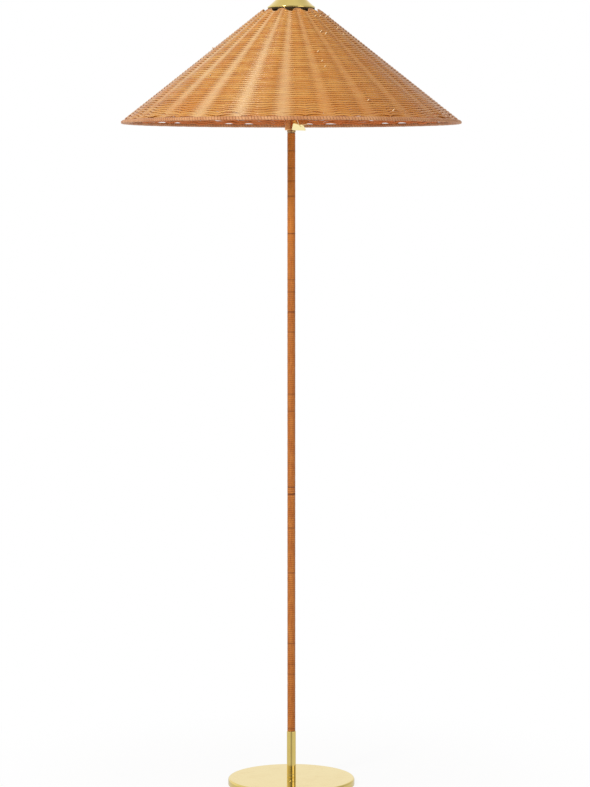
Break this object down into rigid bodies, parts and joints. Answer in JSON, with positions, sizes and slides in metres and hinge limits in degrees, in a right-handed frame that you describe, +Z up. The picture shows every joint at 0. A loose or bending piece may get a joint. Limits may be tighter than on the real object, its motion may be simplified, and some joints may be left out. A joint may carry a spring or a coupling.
{
  "type": "floor lamp",
  "caption": "Floor lamp with a woven rattan cone shade, a slim stem wound with cane, a brass foot tube, a round weighted base, a brass cap, a finial and a winged turn key.",
  "frame": {"origin": "on the floor under the middle of the base", "axes": "+Z up the stem, -Y towards the front where the key is, +X to the right as seen from the front"},
  "size_m": [0.6, 0.6, 1.441],
  "materials": {
    "brass": "polished",
    "steel": "plain",
    "cast_iron": "as cast",
    "felt": "pressed felt",
    "rattan": "woven round rattan, satin",
    "rim_cane": "flat cane wound on a hoop, satin",
    "cane": "flat cane wound edge to edge, satin",
    "rubber": "matt",
    "cable": "matt sheath",
    "plastic": "moulded insulating block",
    "ceramic": "glazed",
    "opal_glass": "opal white"
  },
  "bodies": {
    "stand": {"base_pad": "felt", "base_cover": "brass", "base_weight": "cast_iron", "base_washer": "steel", "base_nut": "steel", "foot_collar": "brass", "foot_tube": "brass", "cord_gland": "rubber", "lower_stem_tube": "steel", "upper_stem_tube": "steel", "stem_coupler": "brass", "lower_stem_wrap": "cane", "stem_joint_wrap": "cane", "upper_stem_wrap": "cane", "stem_top_ring": "brass", "inner_cable": "cable", "switch_housing": "brass", "stem_top_nut": "steel", "switch_body": "plastic", "housing_lid": "brass", "holder_nipple": "steel", "switch_bush": "brass", "lampholder_cap": "brass", "lampholder_shell": "brass", "lampholder_core": "ceramic", "centre_contact": "brass", "thread_sleeve": "brass", "bow_saddle": "brass", "shade_bow": "brass", "carrier_stud": "brass"},
    "key": {"switch_spindle": "steel", "switch_key": "brass"},
    "bulb": {"bulb_glass": "opal_glass", "bulb_base": "steel", "bulb_tip": "steel"},
    "shade_seat": {"seat_washer": "felt"},
    "shade": {"rim_core": "rattan", "rim_wrap": "rim_cane", "shade_weave": "rattan", "stake_cage": "rattan", "shade_spider": "steel"},
    "cap": {"cap_spacer": "brass", "shade_cap": "brass"},
    "finial": {"finial": "brass"}
  },
  "joints": [
    {"name": "key_turn", "type": "hinge", "parent": "stand", "child": "key", "pos_m": [0, 0, 1.1711], "axis": [0.5736, -0.8192, 0], "continuous": true},
    {"name": "bulb_unscrew", "type": "slide", "parent": "stand", "child": "bulb", "axis": [0, 0, 1], "range_m": [0, 0.02]},
    {"name": "shade_turn", "type": "hinge", "parent": "stand", "child": "shade_seat", "pos_m": [0, 0, 1.3605], "axis": [0, 0, 1], "continuous": true},
    {"name": "shade_lift", "type": "slide", "parent": "shade_seat", "child": "shade", "axis": [0, 0, 1], "range_m": [0, 0.25]},
    {"name": "cap_lift", "type": "slide", "parent": "shade", "child": "cap", "axis": [0, 0, 1], "range_m": [0, 0.06]},
    {"name": "finial_turn", "type": "hinge", "parent": "cap", "child": "finial", "pos_m": [0, 0, 1.415], "axis": [0, 0, 1], "continuous": true}
  ]
}
